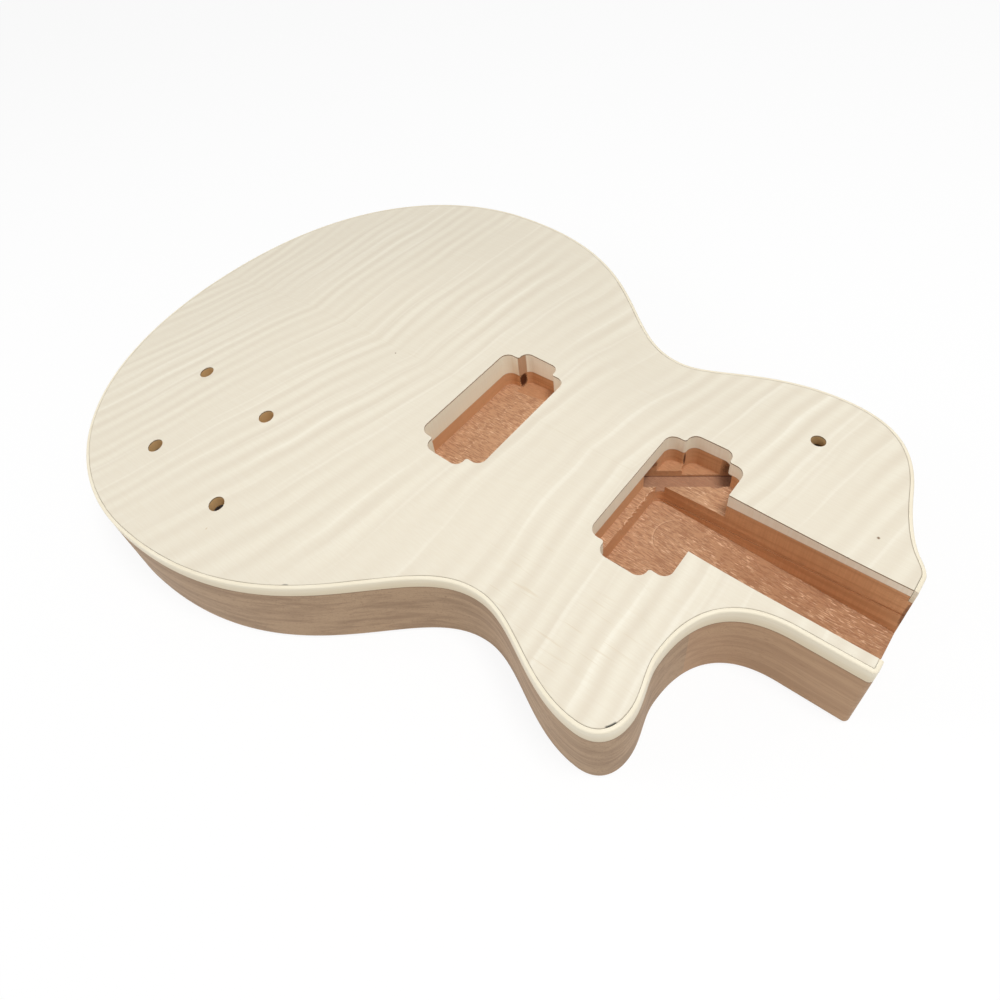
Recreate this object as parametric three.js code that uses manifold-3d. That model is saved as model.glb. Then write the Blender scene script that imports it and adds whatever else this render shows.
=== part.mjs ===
// Unfinished single-cut electric guitar body: a bound, carved maple top on a three-board back.
// X runs from the butt to the neck end, +Y points to the bass side, +Z up from the flat back.
// All lengths are millimetres.
import * as THREE from 'three';
import { mergeVertices } from 'three/addons/utils/BufferGeometryUtils.js';
import Module from 'manifold-3d';

const wasm = await Module();
wasm.setup();

// Plan sizes, each reach from the neck end or from the centre line
const bodyLength = 443;
const lowerBoutWidth = 322;
const lowerBoutFromEnd = 307.4;
const bassWaistReach = 87.2;
const trebleWaistReach = 84.2;
const waistFromEnd = 140.5;
const bassBoutReach = 104;
const bassBoutFromEnd = 69.7;
const shoulderReach = 65.3;
const shoulderFromEnd = 18.2;
const shoulderFootReach = 35.8;
const shoulderFootFromEnd = 6.1;
const endFaceBassReach = 25;
const trebleBoutReach = 105.2;
const trebleBoutFromEnd = 77;
const hornTipReach = 88;
const hornTipFromEnd = 61.7;
const cutawayReach = 64.3;
const cutawayFromEnd = 65.8;
const armReach = 24.2;
const armFromEnd = 29.6;
const armCornerRadius = 2.3;

// Heights above the back
const rimHeight = 45.2;
const capEdgeThickness = 4.7;
const rimLift = 1.85;
const rimLiftStartFromEnd = 141.5;
const rimLiftEndFromEnd = 61.5;
const crestRise = 9;
const crestFromEnd = 221.5;
const ridgeNeckFromEnd = 111.5;
const ridgeButtFromEnd = 291.5;
const backRoundover = 2;

// Skins and edge strip
const veneerThickness = 0.7;
const glueGap = 0.3;
const bindingWidth = 1.7;
const bindingDepth = 6.3;
const bindingRound = 0.9;
const bassJointClearance = 1.2;
const trebleJointClearance = 2.6;
const veneerSeamReach = 4.5;

// Pickup pockets
const pickupFromEnd = [99.3, 199.4];
const pickupWidth = 39;
const pickupLength = 69;
const pickupCorner = 5;
const earWidth = 22;
const earDepth = 6.4;
const earCorner = 4.6;
const notchRadius = 1.3;
const bridgeFloor = 30;
const neckShelf = 34;
const neckEarFloor = 31;
const trebleFloor = 23.5;
const trebleEarFloor = 19.5;

// Neck channel, with its floor and its side step both sloped along it
const channelWidth = 35.2;
const channelStep = 0.7;
const channelFloor = 15.6;
const channelFloorRise = 7.8;
const channelStepHeight = 29;
const channelStepDrop = 5;
const pocketEndFromEnd = 114.5;
const pocketCorner = 4.5;

// Wire trench under the top, from beside the switch to between the two pots nearest the neck
const trenchWidth = 9.9;
const trenchFloor = 30;
const trenchPastSwitch = 6.1;
const trenchInsideSwitch = 9;

// Controls, with the first pot nearest the butt and the lower bout's edge
const potHole = 8.2;
const firstPotFromButt = 105;
const firstPotFromEdge = 42.1;
const potRowSpacing = 62.4;
const potRowAngle = -3.7;
const potColumnSpacing = 54.4;
const potColumnAngle = 112.5;
const controlMargin = 16;
const coverLedge = 5;
const coverDepth = 3;
const switchHole = 6.9;
const switchFromEnd = 62.2;
const switchReach = 70.2;
const switchHollow = 38;
const jackBore = 22;
const jackHeight = 20;
const jackAngle = 247;
const jackRun = 70;

const overrun = 20;
const weld = 1e-4;
const arcSegments = 6;
const holeSegments = 24;
const hollowSegments = 40;

// Shares of the chord for the two handles of each bend, in order round the outline
const bendShares = {
  butt: [0.52, 0.32],
  flank: [0.6, 0.24],
  trebleBout: [0.3, 0.38],
  horn: [0.45, 0.44],
  hornInside: [0.36, 0.33],
  cutaway: [0.45, 0.46],
  armCorner: [0.39, 0.39],
  endCorner: [0.35, 0.3],
  shoulderFoot: [0.3, 0.3],
  shoulder: [0.41, 0.48],
  bassBout: [0.47, 0.22],
};
const shoulderFootHeading = 125;
const shoulderHeading = 105.5;

const plateauShare = 0.8;
const innerRingShare = 0.86;
const ringSpacingPower = 1.43;
const carvePower = 0.8;
const ringCount = 7;

// Height lines of the top
const neckEnd = bodyLength / 2;
const fromEnd = (reach) => neckEnd - reach;
const neckEndHeight = rimHeight + rimLift;
const glueHeight = rimHeight - capEdgeThickness;
const bindingBase = rimHeight - bindingDepth;
const smooth = (share) => {
  const s = Math.min(1, Math.max(0, share));
  return s * s * (3 - 2 * s);
};
const crestHeight = (x) => neckEndHeight + (crestRise * Math.min(neckEnd - x, crestFromEnd)) / crestFromEnd;
const rimLiftSpan = rimLiftStartFromEnd - rimLiftEndFromEnd;
const rimAt = (x) => rimHeight + rimLift * smooth((x - fromEnd(rimLiftStartFromEnd)) / rimLiftSpan);

// Outline stations, anticlockwise from the butt: x, y, heading, handles and steps of the bend that follows
const half = lowerBoutWidth / 2;
const stations = [
  [-neckEnd, 0, 270, bendShares.butt, 15],
  [fromEnd(lowerBoutFromEnd), -half, 0, bendShares.flank, 12],
  [fromEnd(waistFromEnd), -trebleWaistReach, 0, bendShares.trebleBout, 7],
  [fromEnd(trebleBoutFromEnd), -trebleBoutReach, 0, bendShares.horn, 6],
  [fromEnd(hornTipFromEnd), -hornTipReach, 90, bendShares.hornInside, 4],
  [fromEnd(cutawayFromEnd), -cutawayReach, 90, bendShares.cutaway, 9],
  [fromEnd(armFromEnd), -armReach, 0, null, 1],
  [neckEnd - armCornerRadius, -armReach, 0, bendShares.armCorner, 4],
  [neckEnd, armCornerRadius - armReach, 90, null, 1],
  [neckEnd, endFaceBassReach, 90, bendShares.endCorner, 4],
  [fromEnd(shoulderFootFromEnd), shoulderFootReach, shoulderFootHeading, bendShares.shoulderFoot, 4],
  [fromEnd(shoulderFromEnd), shoulderReach, shoulderHeading, bendShares.shoulder, 9],
  [fromEnd(bassBoutFromEnd), bassBoutReach, 180, bendShares.bassBout, 7],
  [fromEnd(waistFromEnd), bassWaistReach, 180, bendShares.flank.toReversed(), 12],
  [fromEnd(lowerBoutFromEnd), half, 180, bendShares.butt.toReversed(), 15],
];

const headingVector = (degrees) => {
  const angle = THREE.MathUtils.degToRad(degrees);
  return new THREE.Vector2(Math.cos(angle), Math.sin(angle));
};

// The outline as points; each bend is a cubic curve between two stations.
function outlinePoints() {
  const points = [];
  stations.forEach(([x, y, heading, shares, steps], index) => {
    const [nextX, nextY, nextHeading] = stations[(index + 1) % stations.length];
    const start = new THREE.Vector2(x, y);
    const end = new THREE.Vector2(nextX, nextY);
    if (!shares) {
      points.push(start);
      return;
    }
    const chord = start.distanceTo(end);
    const leave = headingVector(heading).multiplyScalar(chord * shares[0]).add(start);
    const arrive = headingVector(nextHeading).multiplyScalar(-chord * shares[1]).add(end);
    const bend = new THREE.CubicBezierCurve(start, leave, arrive, end);
    points.push(...bend.getPoints(steps).slice(0, steps));
  });
  return points;
}

const outline = outlinePoints();

// The outline moved inwards by a distance, corner by corner.
function insetOutline(distance) {
  const count = outline.length;
  return outline.map((point, index) => {
    const before = point.clone().sub(outline[(index + count - 1) % count]).normalize();
    const after = outline[(index + 1) % count].clone().sub(point).normalize();
    const along = before.clone().add(after).normalize();
    const inwards = new THREE.Vector2(-along.y, along.x);
    const cosine = along.dot(before);
    return inwards.multiplyScalar(distance / cosine).add(point);
  });
}

const ring = (points, height) => {
  const heightAt = typeof height === 'number' ? () => height : height;
  return points.map((point) => new THREE.Vector3(point.x, point.y, heightAt(point)));
};

// A geometry becomes a solid for joins and cuts, and comes back as a geometry.
function solidOf(geometry) {
  const plain = geometry.clone();
  plain.deleteAttribute('normal');
  plain.deleteAttribute('uv');
  const merged = mergeVertices(plain, weld);
  return new wasm.Manifold(
    new wasm.Mesh({
      numProp: 3,
      vertProperties: merged.attributes.position.array,
      triVerts: new Uint32Array(merged.index.array),
    }),
  );
}

function geometryOf(solid) {
  const mesh = solid.getMesh();
  const geometry = new THREE.BufferGeometry();
  geometry.setAttribute('position', new THREE.BufferAttribute(new Float32Array(mesh.vertProperties), 3));
  geometry.setIndex(new THREE.BufferAttribute(new Uint32Array(mesh.triVerts), 1));
  geometry.computeVertexNormals();
  return geometry;
}

// A loft through rings of equal count, closed by flat-cut end caps or, as a hoop, onto its first ring.
function loftRings(rings, hoop = false) {
  const count = rings[0].length;
  const positions = rings.flat().flatMap((point) => [point.x, point.y, point.z]);
  const indices = [];
  const spans = hoop ? rings.length : rings.length - 1;
  for (let level = 0; level < spans; level++) {
    const low = level * count;
    const high = ((level + 1) % rings.length) * count;
    for (let index = 0; index < count; index++) {
      const next = (index + 1) % count;
      indices.push(low + index, low + next, high + next);
      indices.push(low + index, high + next, high + index);
    }
  }
  if (!hoop) {
    const flat = (points) => points.map((point) => new THREE.Vector2(point.x, point.y));
    const top = (rings.length - 1) * count;
    THREE.ShapeUtils.triangulateShape(flat(rings[0]), []).forEach(([a, b, c]) => indices.push(a, c, b));
    THREE.ShapeUtils.triangulateShape(flat(rings.at(-1)), []).forEach(([a, b, c]) =>
      indices.push(top + a, top + b, top + c),
    );
  }
  const geometry = new THREE.BufferGeometry();
  geometry.setAttribute('position', new THREE.Float32BufferAttribute(positions, 3));
  geometry.setIndex(indices);
  return geometry;
}

// Carved top: rings that close in from the binding to the ridge line
const topEdge = insetOutline(bindingWidth + glueGap);

function carvedRings(drop) {
  const ridgeStart = fromEnd(ridgeButtFromEnd);
  const ridgeEnd = fromEnd(ridgeNeckFromEnd);
  return Array.from({ length: ringCount + 1 }, (_, level) => {
    const share = innerRingShare * (level / ringCount) ** ringSpacingPower;
    const rise = smooth((share / plateauShare) ** carvePower);
    return topEdge.map((edge) => {
      const ridge = new THREE.Vector2(THREE.MathUtils.clamp(edge.x, ridgeStart, ridgeEnd), 0);
      const point = edge.clone().lerp(ridge, share);
      const rim = rimAt(edge.x);
      const height = rim + (crestHeight(point.x) - rim) * rise;
      return new THREE.Vector3(point.x, point.y, height - drop);
    });
  });
}

function veneerSolid() {
  const under = carvedRings(veneerThickness).reverse();
  return solidOf(loftRings([...under, ...carvedRings(0)]));
}

function capSolid() {
  const drop = veneerThickness + glueGap;
  return solidOf(loftRings([ring(topEdge, glueHeight), ...carvedRings(drop)]));
}

// The middle of a quarter round lies this share of its radius in from both faces.
const quarterRoundShare = 1 - Math.SQRT1_2;

function bindingSolid() {
  const outer = (point) => rimAt(point.x);
  const cornerInset = bindingRound * quarterRoundShare;
  const inner = insetOutline(bindingWidth);
  return solidOf(
    loftRings(
      [
        ring(outline, bindingBase),
        ring(outline, (point) => outer(point) - bindingRound),
        ring(insetOutline(cornerInset), (point) => outer(point) - cornerInset),
        ring(insetOutline(bindingRound), outer),
        ring(inner, outer),
        ring(inner, bindingBase),
      ],
      true,
    ),
  );
}

function backSolid() {
  const roundInset = backRoundover * quarterRoundShare;
  return solidOf(
    loftRings([
      ring(insetOutline(backRoundover), 0),
      ring(insetOutline(roundInset), roundInset),
      ring(outline, backRoundover),
      ring(outline, bindingBase),
      ring(topEdge, bindingBase),
      ring(topEdge, glueHeight),
    ]),
  );
}

// Straight cutters
function slab(shape, low, high) {
  const geometry = new THREE.ExtrudeGeometry(shape, {
    depth: high - low,
    bevelEnabled: false,
    curveSegments: arcSegments,
  });
  return solidOf(geometry.translate(0, 0, low));
}

function block(lowX, highX, lowY, highY, lowZ, highZ) {
  const geometry = new THREE.BoxGeometry(highX - lowX, highY - lowY, highZ - lowZ);
  geometry.translate((lowX + highX) / 2, (lowY + highY) / 2, (lowZ + highZ) / 2);
  return solidOf(geometry);
}

function upright(x, y, diameter, low, high, segments) {
  const geometry = new THREE.CylinderGeometry(diameter / 2, diameter / 2, high - low, segments);
  geometry.rotateX(Math.PI / 2);
  geometry.translate(x, y, (low + high) / 2);
  return solidOf(geometry);
}

// A closed outline of straight runs and rounded corners, each corner [x, y, radius] going anticlockwise.
function roundedShape(corners) {
  const shape = new THREE.Shape();
  corners.forEach(([x, y, radius], index) => {
    const corner = new THREE.Vector2(x, y);
    const [beforeX, beforeY] = corners[(index + corners.length - 1) % corners.length];
    const [afterX, afterY] = corners[(index + 1) % corners.length];
    const back = new THREE.Vector2(beforeX, beforeY).sub(corner).normalize();
    const ahead = new THREE.Vector2(afterX, afterY).sub(corner).normalize();
    const halfAngle = Math.acos(THREE.MathUtils.clamp(back.dot(ahead), -1, 1)) / 2;
    const trim = radius / Math.tan(halfAngle);
    const start = back.clone().multiplyScalar(trim).add(corner);
    const end = ahead.clone().multiplyScalar(trim).add(corner);
    const inwards = back.clone().add(ahead).normalize();
    const centre = inwards.multiplyScalar(radius / Math.sin(halfAngle)).add(corner);
    const startAngle = Math.atan2(start.y - centre.y, start.x - centre.x);
    const endAngle = Math.atan2(end.y - centre.y, end.x - centre.x);
    const clockwise = back.cross(ahead) > 0;
    shape.absarc(centre.x, centre.y, radius, startAngle, endAngle, clockwise);
  });
  shape.closePath();
  return shape;
}

// The hull of equal circles round some places, as a belt runs round pulleys.
function beltShape(places, radius) {
  const shape = new THREE.Shape();
  const outwards = (from, to) => Math.atan2(to.y - from.y, to.x - from.x) - Math.PI / 2;
  places.forEach((place, index) => {
    const before = places[(index + places.length - 1) % places.length];
    const after = places[(index + 1) % places.length];
    shape.absarc(place.x, place.y, radius, outwards(before, place), outwards(place, after), false);
  });
  shape.closePath();
  return shape;
}

// Pickup pockets
const skyHeight = neckEndHeight + crestRise + overrun;

const earReach = pickupLength / 2 + earDepth;

function pickupShape(centreX) {
  const a = pickupWidth / 2;
  const b = pickupLength / 2;
  const e = earWidth / 2;
  const corners = [
    [a, -b, pickupCorner],
    [a, b, pickupCorner],
    [e, b, notchRadius],
    [e, earReach, earCorner],
    [-e, earReach, earCorner],
    [-e, b, notchRadius],
    [-a, b, pickupCorner],
    [-a, -b, pickupCorner],
    [-e, -b, notchRadius],
    [-e, -earReach, earCorner],
    [e, -earReach, earCorner],
    [e, -b, notchRadius],
  ];
  return roundedShape(corners.map(([x, y, radius]) => [centreX + x, y, radius]));
}

const [neckPickupX, bridgePickupX] = pickupFromEnd.map(fromEnd);

function earShape(centreX, side) {
  const e = earWidth / 2;
  const inner = pickupLength / 2 - pickupCorner;
  const low = side > 0 ? inner : -earReach;
  const high = side > 0 ? earReach : -inner;
  return roundedShape([
    [centreX - e, low, earCorner],
    [centreX + e, low, earCorner],
    [centreX + e, high, earCorner],
    [centreX - e, high, earCorner],
  ]);
}

// The channel is two side profiles: the wide upper pass and the narrower lower pass.
function channelPass(width, endHeight, rise) {
  const run = pocketEndFromEnd;
  const slope = rise / run;
  const profile = new THREE.Shape();
  profile.moveTo(fromEnd(run), endHeight + rise);
  profile.lineTo(neckEnd + overrun, endHeight - slope * overrun);
  profile.lineTo(neckEnd + overrun, skyHeight);
  profile.lineTo(fromEnd(run), skyHeight);
  profile.closePath();
  const geometry = new THREE.ExtrudeGeometry(profile, { depth: width, bevelEnabled: false });
  geometry.rotateX(Math.PI / 2);
  geometry.translate(0, width / 2, 0);
  const plan = roundedShape([
    [fromEnd(run), -width / 2, pocketCorner],
    [neckEnd + overrun, -width / 2, pocketCorner],
    [neckEnd + overrun, width / 2, pocketCorner],
    [fromEnd(run), width / 2, pocketCorner],
  ]);
  return solidOf(geometry).intersect(slab(plan, 0, skyHeight));
}

const upperPass = channelPass(channelWidth, channelStepHeight, -channelStepDrop);
const lowerPass = channelPass(channelWidth - 2 * channelStep, channelFloor, channelFloorRise);
const channel = upperPass.add(lowerPass);

const bridgePocket = slab(pickupShape(bridgePickupX), bridgeFloor, skyHeight);

function neckPocket() {
  const innerX = fromEnd(pocketEndFromEnd);
  const outerX = neckPickupX + pickupWidth / 2;
  const reach = pickupLength / 2;
  const deepSide = roundedShape([
    [innerX, -reach, pickupCorner],
    [outerX, -reach, pickupCorner],
    [outerX, 0, pickupCorner],
    [innerX, 0, pickupCorner],
  ]);
  return slab(pickupShape(neckPickupX), neckShelf, skyHeight)
    .add(slab(earShape(neckPickupX, 1), neckEarFloor, neckShelf + overrun))
    .add(slab(earShape(neckPickupX, -1), trebleEarFloor, neckShelf + overrun))
    .add(slab(deepSide, trebleFloor, neckShelf + overrun));
}

// Control places: two rows of two
const potPlaces = [];
for (let column = 0; column < 2; column++) {
  for (let row = 0; row < 2; row++) {
    const place = new THREE.Vector2(firstPotFromButt - neckEnd, firstPotFromEdge - half);
    place.addScaledVector(headingVector(potRowAngle), row * potRowSpacing);
    place.addScaledVector(headingVector(potColumnAngle), column * potColumnSpacing);
    potPlaces.push(place);
  }
}
const [potButtLow, potNeckLow, potButtHigh, potNeckHigh] = potPlaces;
const beltPlaces = [potButtLow, potNeckLow, potNeckHigh, potButtHigh];
const switchPlace = new THREE.Vector2(fromEnd(switchFromEnd), switchReach);

// Wire trench
function trench() {
  const buttEnd = potNeckLow.clone().lerp(potNeckHigh, 1 / 2);
  const neckEndPlace = switchPlace.clone().add(new THREE.Vector2(trenchPastSwitch, -trenchInsideSwitch));
  const run = neckEndPlace.clone().sub(buttEnd);
  const geometry = new THREE.BoxGeometry(run.length(), trenchWidth, glueHeight - trenchFloor + overrun);
  geometry.translate(run.length() / 2, 0, (glueHeight + trenchFloor + overrun) / 2);
  geometry.rotateZ(run.angle());
  geometry.translate(buttEnd.x, buttEnd.y, 0);
  return solidOf(geometry);
}

function controlHollow() {
  const through = slab(beltShape(beltPlaces, controlMargin), -overrun, glueHeight + overrun);
  return through.add(slab(beltShape(beltPlaces, controlMargin + coverLedge), -overrun, coverDepth));
}

function switchHollowCut() {
  const { x, y } = switchPlace;
  const ledgeDiameter = switchHollow + 2 * coverLedge;
  return upright(x, y, switchHollow, -overrun, glueHeight + overrun, hollowSegments).add(
    upright(x, y, ledgeDiameter, -overrun, coverDepth, hollowSegments),
  );
}

function jackCut() {
  const geometry = new THREE.CylinderGeometry(jackBore / 2, jackBore / 2, jackRun, hollowSegments);
  geometry.translate(0, -jackRun / 2, 0);
  geometry.rotateZ(THREE.MathUtils.degToRad(jackAngle - 270));
  geometry.translate(potButtLow.x, potButtLow.y, jackHeight);
  return solidOf(geometry);
}

function controlHoles() {
  const low = glueHeight - overrun;
  const hole = ({ x, y }, diameter) => upright(x, y, diameter, low, skyHeight, holeSegments);
  const first = hole(switchPlace, switchHole);
  return potPlaces.reduce((joined, place) => joined.add(hole(place, potHole)), first);
}

// Cutting and splitting
const pocketCuts = bridgePocket.add(neckPocket()).add(channel);
const topCuts = pocketCuts.add(controlHoles());
const backCuts = pocketCuts.add(trench()).add(controlHollow()).add(switchHollowCut()).add(jackCut());

const farX = neckEnd + overrun;
const farY = half + overrun;
const between = (lowY, highY) => block(-farX, farX, lowY, highY, -overrun, skyHeight);
const bassHalf = between(0, farY);
const trebleHalf = between(-farY, 0);

// The joints between the boards pass beside the hollows and their ledges.
const highestPot = Math.max(...potPlaces.map((place) => place.y));
const trebleJoint = highestPot + controlMargin + coverLedge + trebleJointClearance;
const bassJoint = switchReach - switchHollow / 2 - coverLedge - bassJointClearance;

const back = backSolid().subtract(backCuts);
const cap = capSolid().subtract(topCuts);
const veneer = veneerSolid().subtract(topCuts);
const binding = bindingSolid().subtract(channel);

// Woods and plastic
const woods = {
  back: { color: 0xb08c6c, roughness: 0.7 },
  core: { color: 0xdcc9b1, roughness: 0.65 },
  veneer: { color: 0xefe8d7, roughness: 0.55 },
  binding: { color: 0xf0e4c6, roughness: 0.4 },
};

const guitarBody = new THREE.Group();

function place(name, solid, wood) {
  const material = new THREE.MeshStandardMaterial({ ...woods[wood], metalness: 0 });
  const mesh = new THREE.Mesh(geometryOf(solid), material);
  mesh.name = name;
  guitarBody.add(mesh);
}

place('back_centre_board', back.intersect(between(trebleJoint, bassJoint)), 'back');
place('back_bass_board', back.intersect(between(bassJoint, farY)), 'back');
place('back_treble_board', back.intersect(between(-farY, trebleJoint)), 'back');
place('cap_core_bass', cap.intersect(bassHalf), 'core');
place('cap_core_treble', cap.intersect(trebleHalf), 'core');
place('veneer_bass', veneer.intersect(between(veneerSeamReach, farY)), 'veneer');
place('veneer_treble', veneer.intersect(between(-farY, veneerSeamReach)), 'veneer');
place('binding_bass', binding.intersect(bassHalf), 'binding');
place('binding_treble', binding.intersect(trebleHalf), 'binding');

export default guitarBody;
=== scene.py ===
# Unfinished single-cut guitar body: figured maple top, cream binding, light brown back
# Metres, +X to the neck end, +Y to the bass side, +Z up from the flat back
import math
import random

import bpy
from mathutils import Matrix, Vector
from mathutils.geometry import interpolate_bezier, intersect_point_line
from mathutils.kdtree import KDTree


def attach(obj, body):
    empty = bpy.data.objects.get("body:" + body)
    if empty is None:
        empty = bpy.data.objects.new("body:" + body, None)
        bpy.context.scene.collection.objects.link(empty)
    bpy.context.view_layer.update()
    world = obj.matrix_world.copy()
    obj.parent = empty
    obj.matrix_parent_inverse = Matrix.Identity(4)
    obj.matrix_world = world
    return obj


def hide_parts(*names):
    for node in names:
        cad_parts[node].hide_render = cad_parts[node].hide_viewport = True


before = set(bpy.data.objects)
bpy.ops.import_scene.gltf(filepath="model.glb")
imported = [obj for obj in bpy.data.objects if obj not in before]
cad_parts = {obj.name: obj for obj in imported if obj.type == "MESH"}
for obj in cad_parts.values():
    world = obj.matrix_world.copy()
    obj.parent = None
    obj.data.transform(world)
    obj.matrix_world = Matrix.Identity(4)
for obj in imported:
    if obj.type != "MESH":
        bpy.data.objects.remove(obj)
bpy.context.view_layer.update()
print("frame loaded with", len(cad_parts), "nodes")


# Plan of the body, each "FromEnd" measured from the neck end and each reach from the centre line
plan = {
    "length": 0.443,
    "lowerBoutWidth": 0.322,
    "lowerBoutFromEnd": 0.3074,
    "bassWaistReach": 0.0872,
    "trebleWaistReach": 0.0842,
    "waistFromEnd": 0.1405,
    "bassBoutReach": 0.104,
    "bassBoutFromEnd": 0.0697,
    "shoulderReach": 0.0653,
    "shoulderFromEnd": 0.0182,
    "shoulderHeading": 105.5,
    "shoulderFootReach": 0.0358,
    "shoulderFootFromEnd": 0.0061,
    "shoulderFootHeading": 125,
    "endFaceBassReach": 0.025,
    "trebleBoutReach": 0.1052,
    "trebleBoutFromEnd": 0.077,
    "hornTipReach": 0.088,
    "hornTipFromEnd": 0.0617,
    "cutawayReach": 0.0643,
    "cutawayFromEnd": 0.0658,
    "armReach": 0.0242,
    "armFromEnd": 0.0296,
    "armCornerRadius": 0.0023,
    "fineness": 4,
}

# Shares of the chord for the two handles of each bend
bendShares = {
    "butt": (0.52, 0.32),
    "flank": (0.6, 0.24),
    "trebleBout": (0.3, 0.38),
    "horn": (0.45, 0.44),
    "hornInside": (0.36, 0.33),
    "cutaway": (0.45, 0.46),
    "armCorner": (0.39, 0.39),
    "endCorner": (0.35, 0.3),
    "shoulderFoot": (0.3, 0.3),
    "shoulder": (0.41, 0.48),
    "bassBout": (0.47, 0.22),
}

neckEnd = plan["length"] / 2


def fromEnd(reach):
    return neckEnd - reach


def heading(degrees):
    return Vector((math.cos(math.radians(degrees)), math.sin(math.radians(degrees))))


def outlinePoints():
    half = plan["lowerBoutWidth"] / 2
    boutX = fromEnd(plan["lowerBoutFromEnd"])
    waistX = fromEnd(plan["waistFromEnd"])
    footX, shoulderX = fromEnd(plan["shoulderFootFromEnd"]), fromEnd(plan["shoulderFromEnd"])
    footHeading, shoulderHeading = plan["shoulderFootHeading"], plan["shoulderHeading"]
    corner = plan["armCornerRadius"]
    stations = [  # x, y, heading, handles and steps of the bend that follows
        (-neckEnd, 0, 270, bendShares["butt"], 15),
        (boutX, -half, 0, bendShares["flank"], 12),
        (waistX, -plan["trebleWaistReach"], 0, bendShares["trebleBout"], 7),
        (fromEnd(plan["trebleBoutFromEnd"]), -plan["trebleBoutReach"], 0, bendShares["horn"], 6),
        (fromEnd(plan["hornTipFromEnd"]), -plan["hornTipReach"], 90, bendShares["hornInside"], 4),
        (fromEnd(plan["cutawayFromEnd"]), -plan["cutawayReach"], 90, bendShares["cutaway"], 9),
        (fromEnd(plan["armFromEnd"]), -plan["armReach"], 0, None, 2),
        (neckEnd - corner, -plan["armReach"], 0, bendShares["armCorner"], 3),
        (neckEnd, corner - plan["armReach"], 90, None, 2),
        (neckEnd, plan["endFaceBassReach"], 90, bendShares["endCorner"], 4),
        (footX, plan["shoulderFootReach"], footHeading, bendShares["shoulderFoot"], 4),
        (shoulderX, plan["shoulderReach"], shoulderHeading, bendShares["shoulder"], 9),
        (fromEnd(plan["bassBoutFromEnd"]), plan["bassBoutReach"], 180, bendShares["bassBout"], 7),
        (waistX, plan["bassWaistReach"], 180, bendShares["flank"][::-1], 12),
        (boutX, half, 180, bendShares["butt"][::-1], 15),
    ]
    points = []
    for index, (x, y, angle, shares, steps) in enumerate(stations):
        nextX, nextY, nextAngle = stations[(index + 1) % len(stations)][:3]
        start, end = Vector((x, y)), Vector((nextX, nextY))
        count = steps * plan["fineness"]
        if shares is None:
            points += [start.lerp(end, step / count) for step in range(count)]
            continue
        chord = (end - start).length
        leave = start + heading(angle) * chord * shares[0]
        arrive = end - heading(nextAngle) * chord * shares[1]
        points += interpolate_bezier(start, leave, arrive, end, count + 1)[:-1]
    return [Vector(point[:2]) for point in points]


outline = outlinePoints()


def insetOutline(distance):
    moved = []
    for index, point in enumerate(outline):
        before = (point - outline[index - 1]).normalized()
        after = (outline[(index + 1) % len(outline)] - point).normalized()
        along = (before + after).normalized()
        moved.append(point + Vector((-along.y, along.x)) * distance / along.dot(before))
    return moved


# Heights above the back
heights = {
    "glue": 0.0422,
    "rim": 0.0452,
    "rimLift": 0.00185,
    "rimLiftStartFromEnd": 0.1415,
    "rimLiftEndFromEnd": 0.0615,
    "crestRise": 0.009,
    "crestFromEnd": 0.2215,
    "ridgeNeckFromEnd": 0.1115,
    "ridgeButtFromEnd": 0.2915,
    "bindingBase": 0.0389,
    "sky": 0.080,
}


def smooth(share):
    held = min(1, max(0, share))
    return held * held * (3 - 2 * held)


def crestHeight(x):
    run = heights["crestFromEnd"]
    return heights["rim"] + heights["rimLift"] + heights["crestRise"] * min(neckEnd - x, run) / run


def rimAt(x):
    start = heights["rimLiftStartFromEnd"]
    span = start - heights["rimLiftEndFromEnd"]
    return heights["rim"] + heights["rimLift"] * smooth((x - fromEnd(start)) / span)


# Small tools of the bench
weldReach = 1e-7


def pick(*pieces):
    bpy.ops.object.select_all(action="DESELECT")
    for piece in pieces:
        piece.select_set(True)
    bpy.context.view_layer.objects.active = pieces[0]
    return pieces[0]


def editAll(piece):
    pick(piece)
    bpy.ops.object.mode_set(mode="EDIT")
    bpy.ops.mesh.select_mode(type="VERT")
    bpy.ops.mesh.select_all(action="SELECT")


def leaveEdit():
    bpy.ops.object.mode_set(mode="OBJECT")


def faceOutwards(piece):
    editAll(piece)
    bpy.ops.mesh.normals_make_consistent(inside=False)
    leaveEdit()
    return piece


def selectFaces(piece, wanted):
    for part in (piece.data.vertices, piece.data.edges):
        part.foreach_set("select", [False] * len(part))
    piece.data.polygons.foreach_set("select", [bool(wanted(face)) for face in piece.data.polygons])


def editFaces(piece, wanted):
    pick(piece)
    bpy.ops.object.mode_set(mode="EDIT")
    bpy.ops.mesh.select_mode(type="FACE")
    leaveEdit()
    selectFaces(piece, wanted)
    bpy.ops.object.mode_set(mode="EDIT")


def useModifier(piece, kind, **settings):
    pick(piece)
    modifier = piece.modifiers.new(kind.title(), kind)
    for key, value in settings.items():
        setattr(modifier, key, value)
    bpy.ops.object.modifier_apply(modifier=modifier.name)


def cut(piece, *cutters):
    for cutter in cutters:
        useModifier(piece, "BOOLEAN", operation="DIFFERENCE", solver="EXACT", object=cutter)


def keepWithin(piece, space):
    useModifier(piece, "BOOLEAN", operation="INTERSECT", solver="EXACT", object=space)


def copyOf(piece, name):
    pick(piece)
    bpy.ops.object.duplicate()
    made = bpy.context.object
    made.name = name
    made.data.name = name
    return made


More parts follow.
